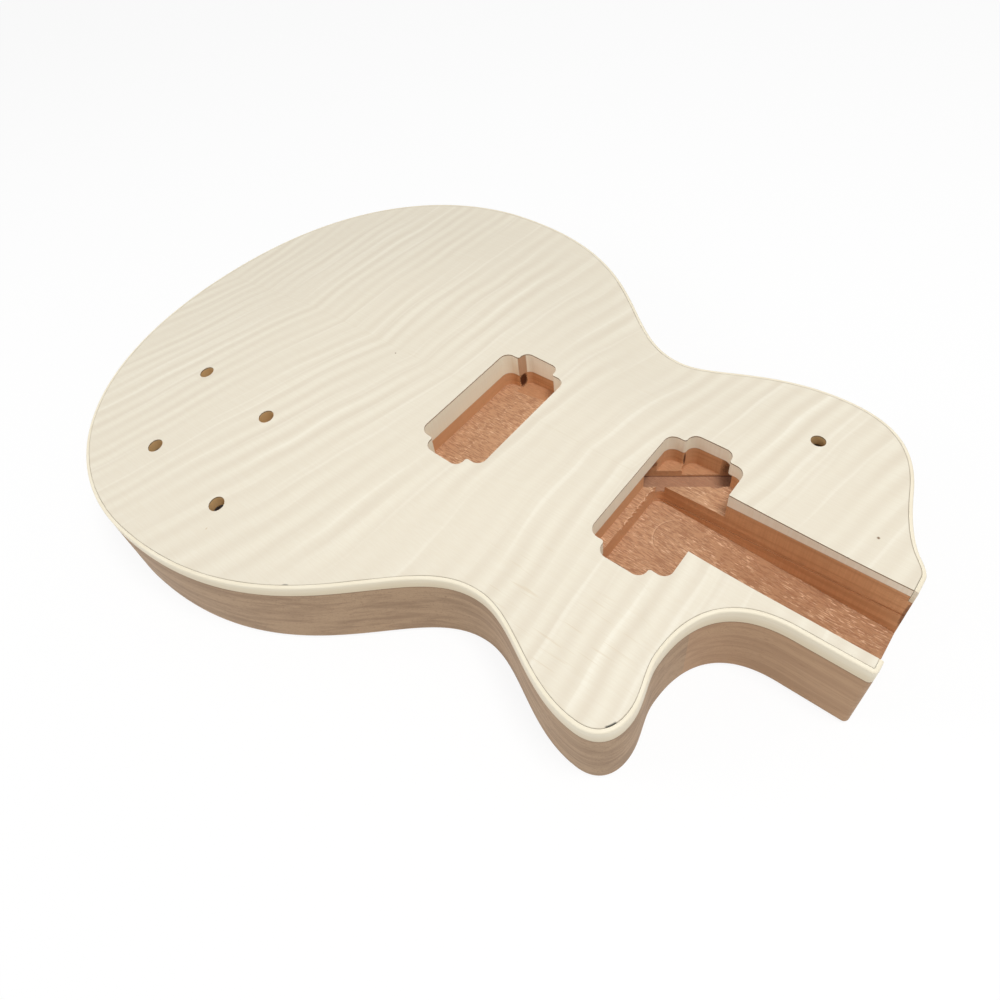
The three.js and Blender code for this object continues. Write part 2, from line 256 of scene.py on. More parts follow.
def prism(name, points, low, high):
    bpy.ops.object.select_all(action="DESELECT")
    bpy.ops.mesh.primitive_circle_add(vertices=len(points), fill_type="NGON")
    piece = bpy.context.object
    piece.name = name
    for vertex, point in zip(piece.data.vertices, points):
        vertex.co = (point[0], point[1], low)
    editAll(piece)
    bpy.ops.mesh.extrude_region_move(TRANSFORM_OT_translate={"value": (0, 0, high - low)})
    leaveEdit()
    return faceOutwards(piece)


def wrapRings(name, rings, hoop):
    # A grid laid over the rings, with each ring closed, and for a hoop the last ring joined to the first
    columns = len(rings[0])
    rows = len(rings) if hoop else len(rings) - 1
    bpy.ops.object.select_all(action="DESELECT")
    bpy.ops.mesh.primitive_grid_add(x_subdivisions=columns, y_subdivisions=rows, size=2)
    piece = bpy.context.object
    piece.name = name
    ringOf = piece.data.attributes.new("ring", "INT", "POINT")
    for vertex in piece.data.vertices:
        column = round((vertex.co.x + 1) / 2 * columns) % columns
        row = round((vertex.co.y + 1) / 2 * rows) % len(rings)
        ringOf.data[vertex.index].value = row
        vertex.co = rings[row][column]
    editAll(piece)
    bpy.ops.mesh.remove_doubles(threshold=weldReach)
    leaveEdit()
    return piece


# Shapes of cuts
def roundedShape(corners, steps=12):
    points = []
    for index, (x, y, radius) in enumerate(corners):
        corner = Vector((x, y))
        behind = (Vector(corners[index - 1][:2]) - corner).normalized()
        ahead = (Vector(corners[(index + 1) % len(corners)][:2]) - corner).normalized()
        halfAngle = behind.angle(ahead) / 2
        start = corner + behind * radius / math.tan(halfAngle)
        end = corner + ahead * radius / math.tan(halfAngle)
        centre = corner + (behind + ahead).normalized() * radius / math.sin(halfAngle)
        turn = (start - centre).angle_signed(end - centre)
        for step in range(steps + 1):
            points.append(centre + Matrix.Rotation(-turn * step / steps, 2) @ (start - centre))
    return points


def beltShape(places, radius, steps=16):
    points = []
    for index, place in enumerate(places):
        before = (place - places[index - 1]).normalized()
        after = (places[(index + 1) % len(places)] - place).normalized()
        start = Vector((before.y, -before.x)) * radius
        turn = before.angle_signed(after)
        for step in range(steps + 1):
            points.append(place + Matrix.Rotation(-turn * step / steps, 2) @ start)
    return points


def circleShape(place, radius, steps=64):
    points = []
    for step in range(steps):
        turn = math.tau * step / steps
        points.append(Vector((place[0] + math.cos(turn) * radius, place[1] + math.sin(turn) * radius)))
    return points


# Pickup pockets and neck channel
pockets = {
    "pickupFromEnd": (0.0993, 0.1994),
    "pickupWidth": 0.039,
    "pickupLength": 0.069,
    "pickupCorner": 0.005,
    "earWidth": 0.022,
    "earReach": 0.0409,
    "earCorner": 0.0046,
    "notchRadius": 0.0013,
    "bridgeFloor": 0.034,
    "neckShelf": 0.034,
    "neckEarFloor": 0.031,
    "trebleFloor": 0.0235,
    "trebleEarFloor": 0.0195,
    "channelWidth": 0.0352,
    "channelStep": 0.0007,
    "channelFloor": 0.0156,
    "channelFloorRise": 0.0078,
    "channelStepHeight": 0.029,
    "channelStepDrop": 0.005,
    "pocketEndFromEnd": 0.1145,
    "pocketCorner": 0.0045,
    "overrun": 0.020,
    "cutterOverlap": 0.001,
}
neckPickupX, bridgePickupX = (fromEnd(reach) for reach in pockets["pickupFromEnd"])


def pickupShape(centreX):
    halfWidth = pockets["pickupWidth"] / 2
    halfLength = pockets["pickupLength"] / 2
    halfEar = pockets["earWidth"] / 2
    quarter = [
        (halfWidth, halfLength, pockets["pickupCorner"]),
        (halfEar, halfLength, pockets["notchRadius"]),
        (halfEar, pockets["earReach"], pockets["earCorner"]),
    ]
    corners = [(halfWidth, -halfLength, pockets["pickupCorner"])] + quarter
    corners += [(-x, y, radius) for x, y, radius in quarter[::-1]]
    corners += [(-x, -y, radius) for x, y, radius in quarter]
    corners += [(x, -y, radius) for x, y, radius in quarter[:0:-1]]
    return roundedShape([(centreX + x, y, radius) for x, y, radius in corners])


def boxShape(lowX, highX, lowY, highY, radius):
    corners = ((lowX, lowY), (highX, lowY), (highX, highY), (lowX, highY))
    return roundedShape([(*corner, radius) for corner in corners])


def channelPass(name, width, endHeight, rise):
    run = pockets["pocketEndFromEnd"]
    farX = neckEnd + pockets["overrun"]
    shape = boxShape(fromEnd(run), farX, -width / 2, width / 2, pockets["pocketCorner"])
    piece = prism(name, shape, 0, heights["sky"])
    for vertex in piece.data.vertices:
        if vertex.co.z < heights["sky"] / 2:
            vertex.co.z = endHeight + rise * (neckEnd - vertex.co.x) / run
    return piece


def pocketCutters():
    sky = heights["sky"]
    aboveShelf = pockets["neckShelf"] + pockets["cutterOverlap"]
    halfEar = pockets["earWidth"] / 2
    inner = pockets["pickupLength"] / 2 - pockets["pickupCorner"]
    reach = pockets["earReach"]
    outerX = neckPickupX + pockets["pickupWidth"] / 2
    deepX = fromEnd(pockets["pocketEndFromEnd"])
    corner, earCorner = pockets["pickupCorner"], pockets["earCorner"]
    lowX, highX = neckPickupX - halfEar, neckPickupX + halfEar
    bassEar = boxShape(lowX, highX, inner, reach, earCorner)
    trebleEar = boxShape(lowX, highX, -reach, -inner, earCorner)
    deepSide = boxShape(deepX, outerX, -pockets["pickupLength"] / 2, 0, corner)
    return {
        "bridge": prism("bridgeCutter", pickupShape(bridgePickupX), pockets["bridgeFloor"], sky),
        "neck": prism("neckCutter", pickupShape(neckPickupX), pockets["neckShelf"], sky),
        "bassEar": prism("bassEarCutter", bassEar, pockets["neckEarFloor"], aboveShelf),
        "trebleEar": prism("trebleEarCutter", trebleEar, pockets["trebleEarFloor"], aboveShelf),
        "deepSide": prism("deepSideCutter", deepSide, pockets["trebleFloor"], aboveShelf),
        "upperPass": channelPass(
            "upperPassCutter",
            pockets["channelWidth"],
            pockets["channelStepHeight"],
            -pockets["channelStepDrop"],
        ),
        "lowerPass": channelPass(
            "lowerPassCutter",
            pockets["channelWidth"] - 2 * pockets["channelStep"],
            pockets["channelFloor"],
            pockets["channelFloorRise"],
        ),
    }


# Controls, their hollows behind, and the wire trench under the top
controls = {
    "potHole": 0.0082,
    "switchHole": 0.0069,
    "holeSteps": 48,
    "firstPotFromButt": 0.105,
    "firstPotFromEdge": 0.0421,
    "potRowSpacing": 0.0624,
    "potRowAngle": -3.7,
    "potColumnSpacing": 0.0544,
    "potColumnAngle": 112.5,
    "margin": 0.016,
    "coverLedge": 0.005,
    "coverDepth": 0.003,
    "switchFromEnd": 0.0622,
    "switchReach": 0.0702,
    "switchHollow": 0.038,
    "jackBore": 0.022,
    "jackSteps": 64,
    "jackHeight": 0.020,
    "jackAngle": 247,
    "jackRun": 0.070,
    "trenchWidth": 0.0099,
    "trenchFloor": 0.030,
    "trenchPastSwitch": 0.0061,
    "trenchInsideSwitch": 0.009,
}


def potPlaces():
    fromEdge = controls["firstPotFromEdge"] - plan["lowerBoutWidth"] / 2
    first = Vector((controls["firstPotFromButt"] - neckEnd, fromEdge))
    rowStep = heading(controls["potRowAngle"]) * controls["potRowSpacing"]
    columnStep = heading(controls["potColumnAngle"]) * controls["potColumnSpacing"]
    return [first, first + rowStep, first + columnStep, first + rowStep + columnStep]


buttLow, neckLow, buttHigh, neckHigh = potPlaces()
switchPlace = Vector((fromEnd(controls["switchFromEnd"]), controls["switchReach"]))


def holeCutters():
    wanted = [(place, controls["potHole"] / 2) for place in (buttHigh, neckHigh, buttLow, neckLow)]
    wanted.append((switchPlace, controls["switchHole"] / 2))
    low = heights["glue"] - pockets["overrun"]
    steps = controls["holeSteps"]
    holes = [prism("holeCutter", circleShape(*hole, steps), low, heights["sky"]) for hole in wanted]
    pick(*holes)
    bpy.ops.object.join()
    return bpy.context.object


def trenchEnds():
    past = Vector((controls["trenchPastSwitch"], -controls["trenchInsideSwitch"]))
    return neckLow.lerp(neckHigh, 0.5), switchPlace + past


def hollowCutters():
    low = -pockets["overrun"]
    high = heights["glue"] + pockets["overrun"]
    belt = [buttLow, neckLow, neckHigh, buttHigh]
    margin, ledge, depth = controls["margin"], controls["coverLedge"], controls["coverDepth"]
    switchRadius = controls["switchHollow"] / 2
    buttEnd, neckEndPlace = trenchEnds()
    side = (neckEndPlace - buttEnd).orthogonal().normalized() * controls["trenchWidth"] / 2
    trenchShape = [buttEnd - side, neckEndPlace - side, neckEndPlace + side, buttEnd + side]
    made = [
        prism("hollowCutter", beltShape(belt, margin), low, high),
        prism("ledgeCutter", beltShape(belt, margin + ledge), low, depth),
        prism("switchCutter", circleShape(switchPlace, switchRadius), low, high),
        prism("switchLedgeCutter", circleShape(switchPlace, switchRadius + ledge), low, depth),
        prism("trenchCutter", trenchShape, controls["trenchFloor"], high),
    ]
    along = heading(controls["jackAngle"])
    middle = buttLow + along * controls["jackRun"] / 2
    bpy.ops.object.select_all(action="DESELECT")
    bpy.ops.mesh.primitive_cylinder_add(
        vertices=controls["jackSteps"],
        radius=controls["jackBore"] / 2,
        depth=controls["jackRun"],
        location=(middle.x, middle.y, controls["jackHeight"]),
        rotation=(math.pi / 2, 0, math.radians(controls["jackAngle"] - 270)),
    )
    bpy.ops.object.transform_apply()
    made.append(bpy.context.object)
    return made


# Carved top as one sheet, from the binding in to the ridge
top = {
    "bindingWidth": 0.0017,
    "glueLine": 0.00012,
    "rows": 28,
    "innerShare": 0.9,
    "rowPower": 1.2,
    "plateauShare": 0.8,
    "carvePower": 0.8,
    "veneerThickness": 0.0007,
    "seamReach": 0.0045,
    "cutters": ("bridge", "neck", "upperPass", "holes"),
}


def carvedSheet(name, drop):
    edgeRing = insetOutline(top["bindingWidth"] + top["glueLine"])
    ridge = (fromEnd(heights["ridgeButtFromEnd"]), fromEnd(heights["ridgeNeckFromEnd"]))
    rings = []
    # Each row lies nearer to the ridge and higher, up to the plateau around it
    for row in range(top["rows"] + 1):
        share = top["innerShare"] * (row / top["rows"]) ** top["rowPower"]
        rise = smooth((share / top["plateauShare"]) ** top["carvePower"])
        ring = []
        for edge in edgeRing:
            point = edge.lerp(Vector((min(ridge[1], max(ridge[0], edge.x)), 0)), share)
            rim = rimAt(edge.x)
            ring.append((point.x, point.y, rim + (crestHeight(point.x) - rim) * rise - drop))
        rings.append(ring)
    sheet = wrapRings(name, rings, False)
    rows = [entry.value for entry in sheet.data.attributes["ring"].data]
    # The last row is closed with faces
    editAll(sheet)
    bpy.ops.mesh.select_all(action="DESELECT")
    leaveEdit()
    for vertex in sheet.data.vertices:
        vertex.select = rows[vertex.index] == top["rows"]
    bpy.ops.object.mode_set(mode="EDIT")
    bpy.ops.mesh.fill()
    leaveEdit()
    return faceOutwards(sheet)


def thicken(sheet, thickness):
    editAll(sheet)
    bpy.ops.mesh.extrude_region_move(TRANSFORM_OT_translate={"value": (0, 0, -thickness)})
    leaveEdit()
    return faceOutwards(sheet)


def region(name, lowY, highY):
    farX, low, high = neckEnd + pockets["overrun"], -pockets["overrun"], heights["sky"]
    return prism(name, [(-farX, lowY), (farX, lowY), (farX, highY), (-farX, highY)], low, high)


def splitInto(whole, bands):
    made = []
    for name, lowY, highY in bands:
        part = copyOf(whole, name)
        space = region("space", lowY, highY)
        keepWithin(part, space)
        bpy.data.objects.remove(space)
        made.append(part)
    bpy.data.objects.remove(whole)
    return made


def halves(whole, name, seamY):
    farY = plan["lowerBoutWidth"]
    return splitInto(whole, ((name + "_bass", seamY, farY), (name + "_treble", -farY, seamY)))


def veneers(cutters):
    sheet = thicken(carvedSheet("veneer", 0), top["veneerThickness"])
    cut(sheet, *(cutters[key] for key in top["cutters"]))
    return halves(sheet, "maple_leaf", top["seamReach"])


def capCores(cutters):
    # Thickened past the joint with the back, then its lower side is laid flat on that joint
    sheet = thicken(carvedSheet("core", top["veneerThickness"]), heights["rim"])
    for vertex in sheet.data.vertices:
        if vertex.co.z < heights["glue"] / 2:
            vertex.co.z = heights["glue"]
    cut(sheet, *(cutters[key] for key in top["cutters"]))
    return halves(sheet, "maple_core", 0)


# Binding: a strip with a rounded upper corner, in two lengths
strip = {
    "round": 0.0009,
    "roundSteps": 6,
}


def bindings(cutters):
    radius = strip["round"]
    base = heights["bindingBase"]
    # Around its section: the outer foot, the rounded corner, the inner edge above and the inner foot
    rings = [[(point.x, point.y, base) for point in outline]]
    for step in range(strip["roundSteps"] + 1):
        turn = math.pi / 2 * step / strip["roundSteps"]
        moved = insetOutline(radius * (1 - math.cos(turn)))
        drop = radius * (1 - math.sin(turn))
        rings.append([(point.x, point.y, rimAt(edge.x) - drop) for point, edge in zip(moved, outline)])
    inner = insetOutline(top["bindingWidth"])
    rings.append([(point.x, point.y, rimAt(edge.x)) for point, edge in zip(inner, outline)])
    rings.append([(point.x, point.y, base) for point in inner])
    whole = faceOutwards(wrapRings("binding", rings, True))
    cut(whole, cutters["upperPass"], cutters["lowerPass"])
    return halves(whole, "binding_strip", 0)


# Back: one outline, rounded below, stepped above for the binding, then split into three boards
back = {
    "roundover": 0.002,
    "roundSteps": 8,
    "flatLimit": 0.9,
    "bassJointClearance": 0.0012,
    "trebleJointClearance": 0.0026,
    "cutters": ("bridge", "neck", "bassEar", "trebleEar", "deepSide", "upperPass", "lowerPass"),
}
ledgeReach = controls["margin"] + controls["coverLedge"]
trebleJoint = max(buttHigh.y, neckHigh.y) + ledgeReach + back["trebleJointClearance"]
switchReachInside = controls["switchReach"] - controls["switchHollow"] / 2 - controls["coverLedge"]
bassJoint = switchReachInside - back["bassJointClearance"]


def backBoards(cutters, hollows):
    base = heights["bindingBase"]
    blank = prism("backBlank", outline, 0, base)
    editFaces(blank, lambda face: face.normal.z < -back["flatLimit"])
    bpy.ops.mesh.bevel(offset=back["roundover"], segments=back["roundSteps"], affect="EDGES")
    leaveEdit()
    editFaces(blank, lambda face: face.normal.z > back["flatLimit"])
    bpy.ops.mesh.inset(thickness=top["bindingWidth"] + top["glueLine"], use_even_offset=True)
    bpy.ops.mesh.extrude_region_move(TRANSFORM_OT_translate={"value": (0, 0, heights["glue"] - base)})
    leaveEdit()
    faceOutwards(blank)
    cut(blank, *(cutters[key] for key in back["cutters"]), *hollows)
    farY = plan["lowerBoutWidth"]
    bands = (
        ("back_board_centre", trebleJoint, bassJoint),
        ("back_board_bass", bassJoint, farY),
        ("back_board_treble", -farY, trebleJoint),
    )
    return splitInto(blank, bands)


# Torn fibres left standing on the edge of the neck pocket's ledge
torn = {
    "count": 34,
    "sides": 4,
    "reachLow": -0.0165,
    "reachHigh": 0.0122,
    "spread": 0.00035,
    "sink": 0.00015,
    "radius": 0.00032,
    "length": 0.0030,
    "shortest": 0.45,
    "tilt": (35, 85),
    "turn": (-110, 110),
    "seed": 11,
}


def tornFibres():
    chance = random.Random(torn["seed"])
    bpy.ops.object.select_all(action="DESELECT")
    bpy.ops.mesh.primitive_cone_add(
        vertices=torn["sides"], radius1=torn["radius"], radius2=0, depth=torn["length"]
    )
    sliver = bpy.context.object
    editAll(sliver)
    bpy.ops.transform.translate(value=(0, 0, torn["length"] / 2))
    leaveEdit()
    slivers = []
    for _ in range(torn["count"]):
        made = copyOf(sliver, "torn_fibres")
        size = chance.uniform(torn["shortest"], 1)
        along = chance.uniform(torn["reachLow"], torn["reachHigh"])
        edge = fromEnd(pockets["pocketEndFromEnd"]) + chance.uniform(-1, 0) * torn["spread"]
        tilt = math.radians(chance.uniform(*torn["tilt"]))
        turn = math.radians(chance.uniform(*torn["turn"]))
        made.location = (edge, along, pockets["neckShelf"] - torn["sink"])
        made.rotation_euler = (0, tilt, turn)
        made.scale = (1, 1, size)
        slivers.append(made)
    bpy.data.objects.remove(sliver)
    pick(*slivers)
    bpy.ops.object.join()
    bpy.ops.object.transform_apply(location=True, rotation=True, scale=True)
    whole = bpy.context.object
    whole.name = whole.data.name = "torn_fibres"
    loose = whole.data.attributes.new("loose", "FLOAT", "POINT")
    for point in loose.data:
        point.value = 1
    return whole


cutters = pocketCutters()
cutters["holes"] = holeCutters()
hollows = hollowCutters()
leaves = veneers(cutters)
print("veneers made")
cores = capCores(cutters)
print("cap cores made")
strips = bindings(cutters)
print("bindings made")
boards = backBoards(cutters, hollows)
print("back boards made")
fibres = tornFibres()
print("torn fibres made")
for cutter in [*cutters.values(), *hollows]:
    bpy.data.objects.remove(cutter)


# Attributes for the finishes: how each face was cut, and how far the veneer is from the binding
cutKinds = {
    "outsideBand": 0.0031,
    "backBand": 0.00155,
    "uprightLimit": 0.5,
    "rimReach": 0.008,
}
outlineTree = KDTree(len(outline))
for index, point in enumerate(outline):
    outlineTree.insert((point.x, point.y, 0), index)
outlineTree.balance()


def distanceFromOutline(place):
    index = outlineTree.find((place.x, place.y, 0))[1]
    spot = Vector((place.x, place.y))
    ends = (outline[index - 1], outline[index], outline[(index + 1) % len(outline)])
    nearest = []
    for start, end in zip(ends, ends[1:]):
        share = intersect_point_line(spot, start, end)[1]
        nearest.append((spot - start.lerp(end, min(1, max(0, share)))).length)
    return min(nearest)


def markCuts(piece):
    band, lowest = cutKinds["outsideBand"], cutKinds["backBand"]
    # Machined faces lie away from the outside, upright ones are walls, and end-facing ones, where the grain
    # ends, look along X
    kinds = {
        "machined": lambda face: face.center.z > lowest and distanceFromOutline(face.center) > band,
        "upright": lambda face: abs(face.normal.z) < cutKinds["uprightLimit"],
        "endFacing": lambda face: abs(face.normal.x),
    }
    for name, kindOf in kinds.items():
        marks = piece.data.attributes.new(name, "FLOAT", "FACE").data
        for face in piece.data.polygons:
            marks[face.index].value = float(kindOf(face))


def markRim(leaf):
    rim = leaf.data.attributes.new("rimDistance", "FLOAT", "POINT")
    for vertex in leaf.data.vertices:
        inwards = distanceFromOutline(vertex.co) - top["bindingWidth"]
        rim.data[vertex.index].value = min(cutKinds["rimReach"], max(0, inwards))


for piece in leaves + cores + boards + [fibres]:
    markCuts(piece)
for leaf in leaves:
    markRim(leaf)


# Shader tools: most take sockets or plain values and give back a socket
def colour(*levels):
    # sRGB levels of 0 to 255 as linear light
    return (*[((level / 255 + 0.055) / 1.055) ** 2.4 for level in levels], 1)


class Finish:
    def __init__(self, name, roughness, gloss):
        self.material = bpy.data.materials.new(name)
        self.material.use_nodes = True
        self.tree = self.material.node_tree
        self.shader = self.tree.nodes["Principled BSDF"]
        self.shader.inputs["Roughness"].default_value = roughness
        self.shader.inputs["Specular IOR Level"].default_value = gloss
        self.place = self.tree.nodes.new("ShaderNodeTexCoord").outputs["Object"]
        self.x, self.y, self.z = self.add("ShaderNodeSeparateXYZ", {}, self.place).outputs

    def feed(self, socket, value):
        if isinstance(value, bpy.types.NodeSocket):
            self.tree.links.new(value, socket)
        else:
            socket.default_value = value

    def add(self, kind, settings, *values):
        node = self.tree.nodes.new(kind)
        for key, value in settings.items():
            setattr(node, key, value)
        for socket, value in zip(node.inputs, values):
            self.feed(socket, value)
        return node

    def sum(self, operation, *values):
        return self.add("ShaderNodeMath", {"operation": operation}, *values).outputs[0]

    def vector(self, operation, first, second):
        return self.add("ShaderNodeVectorMath", {"operation": operation}, first, second).outputs

    def distance(self, value, middle):
        return self.sum("ABSOLUTE", self.sum("SUBTRACT", value, middle))

    def point(self, x, y, z):
        return self.add("ShaderNodeCombineXYZ", {}, x, y, z).outputs[0]

    def grain(self, sizes, place=None, detail=2.0, roughness=0.5, distortion=0.0):
        start = self.place if place is None else place
        scaled = self.vector("DIVIDE", start, sizes)[0]
        node = self.add("ShaderNodeTexNoise", {}, scaled)
        node.inputs["Scale"].default_value = 1
        node.inputs["Detail"].default_value = detail
        node.inputs["Roughness"].default_value = roughness
        node.inputs["Distortion"].default_value = distortion
        return node.outputs["Fac"]

    def fade(self, value, low, high):
        settings = {"interpolation_type": "SMOOTHSTEP"}
        return self.add("ShaderNodeMapRange", settings, value, low, high).outputs[0]

    def pattern(self, limits, **noise):
        # The noise as its sizes and settings, and the limits between which it fades in
        return self.fade(self.grain(**noise), *limits)

    def blend(self, share, first, second):
        # Sockets 6 and 7 of a mix node take its two colours, and its third output gives one
        node = self.add("ShaderNodeMix", {"data_type": "RGBA"}, share)
        self.feed(node.inputs[6], first)
        self.feed(node.inputs[7], second)
        return node.outputs[2]

    def layer(self, shade, over, share, strength):
        return self.blend(self.sum("MULTIPLY", share, strength), shade, over)

    def near(self, spot, inner, outer, stretch=(1, 1, 1)):
        # Full within the inner reach of the spot and gone beyond the outer one
        away = self.vector("SUBTRACT", self.place, spot)[0]
        shaped = self.vector("DIVIDE", away, stretch)[0]
        reach = self.add("ShaderNodeVectorMath", {"operation": "LENGTH"}, shaped).outputs["Value"]
        return self.fade(reach, outer, inner)

    def mark(self, name):
        return self.add("ShaderNodeAttribute", {"attribute_name": name}).outputs["Fac"]

    def relief(self, height, depth):
        node = self.add("ShaderNodeBump", {})
        node.inputs["Distance"].default_value = depth
        self.feed(node.inputs["Height"], height)
        self.tree.links.new(node.outputs["Normal"], self.shader.inputs["Normal"])

    def paint(self, shade):
        self.tree.links.new(shade, self.shader.inputs["Base Color"])
        return self.material


# Figured maple: a soft flame across the grain, which leans differently in each half of the matched pair
flame = {
    "roughness": 0.55,
    "gloss": 0.25,
    "base": colour(238, 231, 213),
    "stripe": colour(226, 216, 197),
    "bright": colour(247, 242, 227),
    "tan": colour(214, 196, 166),
    "edge": colour(160, 146, 120),
    "gap": colour(66, 66, 58),
    "cut": colour(150, 126, 98),
    "seam": colour(218, 205, 180),
    "speckBrown": colour(120, 90, 60),
    "period": 0.0094,
    "wander": 0.006,
    "wanderNoise": {"sizes": (0.075, 0.05, 0.4), "detail": 1.0},
    "ripple": 0.0016,
    "rippleNoise": {"sizes": (0.020, 0.03, 0.4), "detail": 1.0},
    "contrast": {"sizes": (0.026, 0.12, 0.4), "detail": 1.0, "limits": (0.3, 0.75)},
    "streaks": {"sizes": (0.0042, 0.14, 0.4), "detail": 1.5, "limits": (0.54, 0.76)},
    "streakStrength": 0.45,
    "leanStart": -0.10,
    "leanEnd": 0.13,
    "bassLean": (0.06, -0.19),
    "trebleLean": (0.36, -0.06),
    "fineGrain": {"sizes": (0.012, 0.0007, 0.0007), "detail": 1.0, "limits": (0.3, 0.7)},
    "fineStrength": 0.10,
    "fineRelief": 0.00001,
    "waistLines": {"sizes": (0.022, 0.0013, 0.01), "distortion": 0.3, "limits": (0.62, 0.72)},
    "waistSpot": ((0.11, -0.075, 0.047), 0.02, 0.055),
    "waistStrength": 0.35,
    "seamWidth": 0.0006,
    "seamNoise": {"sizes": (0.03, 0.01, 0.01)},
    "seamStrength": 0.3,
    "edgeWidth": 0.0006,
    "edgeWear": {"sizes": (0.02, 0.02, 0.02), "detail": 3.0, "limits": (0.3, 0.7)},
    "edgeWearStrength": 0.6,
    "edgeLeast": 0.2,
    "gapFade": (0.0011, 0.0003),
    "openJoint": ((0.1563, -0.0975, 0.0469), 0.0018, 0.0030),
    "faintJoint": ((0.0087, -0.1322, 0.0452), 0.0012, 0.0022),
    "openStrength": 1.0,
    "faintStrength": 0.6,
    "tornEdges": ((0.2192, -0.0243, 0.0471), (0.2001, 0.0337, 0.0471)),
    "tornReach": (0.0002, 0.0009),
    "tick": ((-0.0473, -0.1346, 0.0467), 0.0002, 0.0010, (0.5, 1, 1)),
    "speck": ((-0.0494, 0.0006, 0.056), 0.0001, 0.0006),
    "cutStrength": 0.9,
}


def flamePattern(made):
    # Folded at the seam, so that the leaves mirror each other, then leant and bent before it is a wave
    across = made.sum("SUBTRACT", made.y, top["seamReach"])
    reach = made.sum("ABSOLUTE", across)
    bass = made.sum("GREATER_THAN", across, 0.0)
    along = made.fade(made.x, flame["leanStart"], flame["leanEnd"])
    leans = []
    for first, last in (flame["trebleLean"], flame["bassLean"]):
        leans.append(made.sum("MULTIPLY_ADD", along, last - first, first))
    lean = made.sum("MULTIPLY_ADD", bass, made.sum("SUBTRACT", leans[1], leans[0]), leans[0])
    place = made.point(made.x, reach, 0.0)
    wander = made.sum("SUBTRACT", made.grain(place=place, **flame["wanderNoise"]), 0.5)
    ripple = made.sum("SUBTRACT", made.grain(place=place, **flame["rippleNoise"]), 0.5)
    drift = made.sum("MULTIPLY_ADD", ripple, flame["ripple"], made.sum("MULTIPLY", wander, flame["wander"]))
    leaning = made.sum("MULTIPLY_ADD", reach, lean, made.x)
    moved = made.sum("ADD", leaning, drift)
    wave = made.sum("SINE", made.sum("MULTIPLY", moved, math.tau / flame["period"]))
    figure = made.point(moved, reach, 0.0)
    contrast = made.pattern(place=figure, **flame["contrast"])
    stripes = made.sum("MULTIPLY_ADD", made.sum("MULTIPLY", wave, contrast), 0.5, 0.5)
    return reach, stripes, made.pattern(place=figure, **flame["streaks"])


def veneerEdge(made, shade):
    rim = made.mark("rimDistance")
    wear = made.pattern(**flame["edgeWear"])
    share = made.sum("MULTIPLY_ADD", wear, flame["edgeWearStrength"], flame["edgeLeast"])
    shade = made.layer(shade, flame["edge"], made.fade(rim, flame["edgeWidth"], 0.0), share)
    wide = made.fade(rim, *flame["gapFade"])
    for spot, strength in (("openJoint", "openStrength"), ("faintJoint", "faintStrength")):
        gap = made.sum("MULTIPLY", wide, made.near(*flame[spot]))
        shade = made.layer(shade, flame["gap"], gap, flame[strength])
    return shade


def figuredMaple():
    made = Finish("figuredMaple", flame["roughness"], flame["gloss"])
    reach, stripes, streaks = flamePattern(made)
    shade = made.blend(stripes, flame["stripe"], flame["base"])
    shade = made.layer(shade, flame["bright"], streaks, flame["streakStrength"])
    fineGrain = made.pattern(**flame["fineGrain"])
    shade = made.layer(shade, flame["tan"], fineGrain, flame["fineStrength"])
    waistLines = made.sum("MULTIPLY", made.pattern(**flame["waistLines"]), made.near(*flame["waistSpot"]))
    shade = made.layer(shade, flame["tan"], waistLines, flame["waistStrength"])
    seam = made.sum("MULTIPLY", made.fade(reach, flame["seamWidth"], 0.0), made.grain(**flame["seamNoise"]))
    shade = made.layer(shade, flame["seam"], seam, flame["seamStrength"])
    shade = veneerEdge(made, shade)
    for spot in flame["tornEdges"]:
        shade = made.blend(made.near(spot, *flame["tornReach"]), shade, flame["speckBrown"])
    shade = made.blend(made.near(*flame["tick"]), shade, flame["tan"])
    shade = made.blend(made.near(*flame["speck"]), shade, flame["speckBrown"])
    shade = made.layer(shade, flame["cut"], made.mark("upright"), flame["cutStrength"])
    made.relief(fineGrain, flame["fineRelief"])
    return made.paint(shade)


# Plain maple of the cap: seen on the walls of the cuts, with upright tool marks
core = {
    "roughness": 0.6,
    "gloss": 0.25,
    "light": colour(255, 246, 226),
    "dark": colour(240, 222, 194),
    "line": colour(150, 116, 80),
    "hole": colour(220, 178, 114),
    "scorch": colour(176, 116, 66),
    # Greyer for the end grain, and lighter as painted light, on walls facing along X
    "endFacing": colour(248, 246, 226),
    "marks": {"sizes": (0.0012, 0.0012, 0.05), "roughness": 0.6, "limits": (0.3, 0.7)},
    "markStrength": 0.3,
    "markRelief": 0.00003,
    "layers": {"sizes": (0.06, 0.06, 0.0016), "limits": (0.35, 0.65)},
    "layerStrength": 0.15,
    "endFacingStrength": 0.6,
    "lineHeight": 0.0004,
    "lineStrength": 0.6,
    "holesFrom": 0.05,
    "holeStrength": 0.85,
    "scorchSpot": ((0.0112, 0.0366, 0.0480), 0.75, 1.0, (0.0014, 0.0046, 0.0200)),
    "scorchStrength": 0.75,
}


